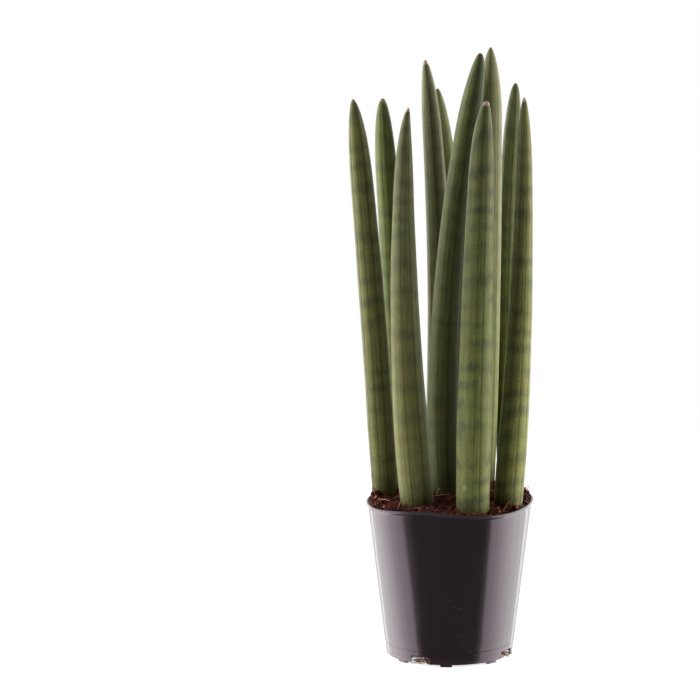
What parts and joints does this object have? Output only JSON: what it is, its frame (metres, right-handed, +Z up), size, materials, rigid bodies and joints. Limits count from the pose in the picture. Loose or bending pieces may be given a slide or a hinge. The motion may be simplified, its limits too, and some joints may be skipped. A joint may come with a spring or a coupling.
{
  "type": "potted snake plant",
  "caption": "Cylindrical snake plant: straight upright spear leaves rooted in coir mix in a round black nursery pot that stands on a table or floor.",
  "frame": {"origin": "middle of the flat pad under the pot, on the surface that the pot stands on", "axes": "+Z up along the leaves and the pot's axis, -Y the front, where the rim bulges, +X to the right seen from the front"},
  "size_m": [0.1322, 0.1214, 0.439],
  "materials": {
    "pot_plastic": "smooth moulded black polypropylene, satin to glossy",
    "coir_mix": "loose reddish-brown coir fibre and chips, dry and matte",
    "leaf_green": "waxy satin living leaf, grooved lengthwise, grey-green with darker cross bands"
  },
  "bodies": {
    "root": {"pot": "pot_plastic", "potting_mix": "coir_mix", "leaf_01": "leaf_green", "leaf_02": "leaf_green", "leaf_03": "leaf_green", "leaf_04": "leaf_green", "leaf_05": "leaf_green", "leaf_06": "leaf_green", "leaf_07": "leaf_green", "leaf_08": "leaf_green", "leaf_09": "leaf_green", "leaf_10": "leaf_green"}
  },
  "joints": []
}
